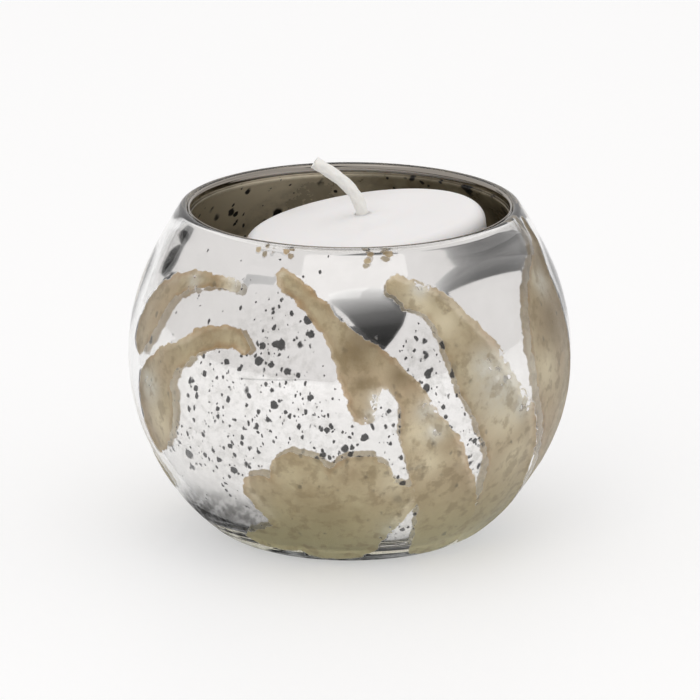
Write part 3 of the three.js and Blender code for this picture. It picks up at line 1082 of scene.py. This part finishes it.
def candle_axes():
    """The middle of the candle's base, its sideways direction and its axis, where it stands."""
    axis = np.array(frame["joints"][0]["axis"], dtype=float)
    axis /= np.linalg.norm(axis)
    wax = frame["nodes"]["candle_wax"].data.vertices
    corners = np.unique(np.round([tuple(v.co) for v in wax], 6), axis=0) / MM
    centre = corners.mean(axis=0)
    base = centre + ((corners @ axis).min() - centre @ axis) * axis
    return base, np.cross((0, 1, 0), axis), axis


def in_candle(points):
    """Points in the candle's own frame, whose base is at z = 0, moved to where the candle stands."""
    base, sideways, axis = candle_axes()
    return base + points @ np.array((sideways, (0, 1, 0), axis))


def wax_profile():
    """Up the side, over the top to the wick, and down through the bore and the sustainer's seat."""
    plate_depth = SUSTAINER_THICKNESS + 2 * CLEARANCE
    neck_depth = plate_depth + NECK_HEIGHT
    neck_bore = WICK_BORE + NECK_WALL + CLEARANCE
    seat = SUSTAINER_RADIUS + CLEARANCE
    edge = CANDLE_TOP_RADIUS - CANDLE_SHOULDER
    edge_height = CANDLE_HEIGHT - CANDLE_DOME - CANDLE_SHOULDER
    across = np.linspace(edge, WICK_BORE, 34)
    climb = CREEP_HEIGHT * np.exp(-(across - WICK_BORE) / CREEP_REACH)
    dip = DIP_DEPTH * np.exp(-(((across - DIP_RADIUS) / DIP_WIDTH) ** 2))
    top = np.column_stack((across, CANDLE_HEIGHT - CANDLE_DOME * (across / edge) ** 2 + climb - dip))
    return joined(
        line((seat, 0), (CANDLE_BASE_RADIUS - CANDLE_CHAMFER, 0), 1.2),
        line((CANDLE_BASE_RADIUS - CANDLE_CHAMFER, 0), (CANDLE_BASE_RADIUS, CANDLE_CHAMFER), 0.3),
        line((CANDLE_BASE_RADIUS, CANDLE_CHAMFER), (CANDLE_TOP_RADIUS, edge_height), 1.0),
        arc((edge, edge_height), CANDLE_SHOULDER, 0, 90, 0.35),
        top,
        line(top[-1], (WICK_BORE, neck_depth), 4),
        line((WICK_BORE, neck_depth), (neck_bore, neck_depth), 1),
        line((neck_bore, neck_depth), (neck_bore, plate_depth), 2),
        line((neck_bore, plate_depth), (seat, plate_depth), 2),
        line((seat, plate_depth), (seat, 0), 1)[:-1],
    )


def make_wax():
    """The wax, cast a little out of round and not quite level on top."""
    azimuths = whole_turn(CANDLE_COLUMNS)
    profile = wax_profile()
    rings = turned(profile, azimuths)
    turn = np.radians(azimuths)[None, :]
    rise = profile[:, 1:]
    uneven = 0.05 * np.sin(2 * turn + rise / 9) + 0.03 * np.sin(5 * turn - rise / 5) - 0.08
    outer = profile[:, :1] > SUSTAINER_RADIUS + CLEARANCE + 0.1
    rings[..., 0] += np.where(outer, uneven * np.sin(turn), 0)
    rings[..., 1] -= np.where(outer, uneven * np.cos(turn), 0)
    slope = 0.12 * np.sin(turn + 0.6) + 0.06 * np.sin(3 * turn)
    on_top = np.clip((rise - (CANDLE_HEIGHT - 4)) / 3, 0, 1) * np.clip((profile[:, :1] - 2) / 6, 0, 1)
    rings[..., 2] += slope * on_top
    return grid_mesh("votive_wax", in_candle(rings), wax_material(), poles=False)


def wick_course(spacing):
    """Points along the middle of the wick and its direction at each, in the candle's frame."""
    buried = np.array([(0, z) for z in np.arange(CLEARANCE, CANDLE_HEIGHT - 1, 6 * spacing)])
    share = np.linspace(0, 1, round(15 / spacing))[:, None]
    top = np.array((0, CANDLE_HEIGHT))
    controls = (top, top + (0, WICK_UPRIGHT), top + WICK_BEND, top + WICK_TIP)
    weights = ((1 - share) ** 3, 3 * share * (1 - share) ** 2, 3 * share**2 * (1 - share), share**3)
    free = sum(weight * control for weight, control in zip(weights, controls))
    flat = np.concatenate((buried, free))
    points = np.column_stack((flat[:, 0], np.zeros(len(flat)), flat[:, 1]))
    tangents = np.gradient(points, axis=0)
    return points, tangents / np.linalg.norm(tangents, axis=1, keepdims=True)


def tube_rings(points, tangents, radii, columns):
    """Rings round a course that stays in the plane y = 0. radii has a value for each ring and column."""
    turn = 2 * math.pi * np.arange(columns) / columns
    back = np.array((0.0, 1.0, 0.0))
    side = np.cross(back, tangents)
    circle = np.cos(turn)[None, :, None] * side[:, None, :] + np.sin(turn)[None, :, None] * back
    return points[:, None, :] + radii[..., None] * circle


def along_course(points):
    """The distance along a course to each of its points."""
    return np.concatenate(([0], np.cumsum(np.linalg.norm(np.diff(points, axis=0), axis=1))))


def make_wick_sleeve(columns=48):
    """The braid: strands that wind both ways round a bore for the core."""
    points, tangents = wick_course(0.16)
    turn = 2 * math.pi * np.arange(columns) / columns
    lay = 2 * math.pi * along_course(points)[:, None] / BRAID_PITCH
    strands = np.maximum(np.cos(4 * turn + lay), np.cos(4 * turn - lay))
    outer = WICK_RADIUS * (0.93 + 0.07 * strands)
    inner = np.full_like(outer, WICK_CORE_RADIUS + CLEARANCE / 2)
    skin = tube_rings(points, tangents, outer, columns)
    bore = tube_rings(points, tangents, inner, columns)[::-1]
    rings = np.concatenate((skin, bore))
    return grid_mesh("braided_wick", in_candle(rings), cotton_material(), poles=False)


def make_wick_core(columns=18):
    """The core: three strands twisted together."""
    points, tangents = wick_course(0.3)
    turn = 2 * math.pi * np.arange(columns) / columns
    twist = along_course(points)[:, None] / TWIST_STEP
    radii = WICK_CORE_RADIUS * (0.9 + 0.1 * np.cos(3 * turn + twist))
    radii[0] = 0
    radii[-1] = 0
    rings = tube_rings(points, tangents, radii, columns)
    return grid_mesh("twisted_paper_core", in_candle(rings), paper_material())


def pressed_ring(level, wider):
    """The raised ring on one face of the plate, from its inner side out."""
    inner = RING_INNER - wider
    outer = RING_OUTER + wider
    top = level + RING_HEIGHT
    return [(inner - RING_SLOPE, level), (inner, top), (outer, top), (outer + RING_SLOPE, level)]


def make_sustainer(columns=96):
    """A pressed plate with a raised ring, and a neck crimped in eight places."""
    low = CLEARANCE
    high = CLEARANCE + SUSTAINER_THICKNESS
    neck = WICK_BORE + NECK_WALL
    neck_top = high + NECK_HEIGHT - CLEARANCE
    rounding = SUSTAINER_THICKNESS / 2
    ring_below = pressed_ring(low, 0)
    rim = arc((SUSTAINER_RADIUS - rounding, low + rounding), rounding, -90, 90, 0.1)
    ring_above = pressed_ring(high, 0.1)[::-1]
    neck_foot = [(neck + 0.2, high), (neck, high + 0.2)]
    up_neck = [(neck, height) for height in (1.5, 2.4, 3.3, neck_top)]
    down_bore = [(WICK_BORE, height) for height in (neck_top, 3.3, 2.4, 1.5)]
    profile = np.array([(WICK_BORE, low), *ring_below, *rim, *ring_above, *neck_foot, *up_neck, *down_bore])
    azimuths = whole_turn(columns)
    rings = turned(profile, azimuths)
    crimp = 1 - 0.05 * np.clip((profile[:, 1:] - 1.4) / 1.2, 0, 1) * np.cos(4 * np.radians(azimuths)) ** 2
    rings[..., :2] *= crimp[..., None]
    return grid_mesh("pressed_sustainer", in_candle(rings), tinplate_material(), poles=False)


# ==== The whole ====


def place(piece, body, node, slot):
    """The piece stands for a CAD node and moves with a body. The slot is not used."""
    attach(piece, body)
    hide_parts(node)


add_camera()
add_studio()
place(make_glass(), "holder", "glass_bowl", "glass")
place(make_silver(), "holder", "silver_lining", "silver")
place(make_lacquer(), "holder", "lacquer_coat", "lacquer")
place(make_wax(), "candle", "candle_wax", "wax")
place(make_wick_sleeve(), "candle", "wick_sleeve", "wick")
place(make_wick_core(), "candle", "wick_core", "wick_paper")
place(make_sustainer(), "candle", "wick_sustainer", "tinplate")
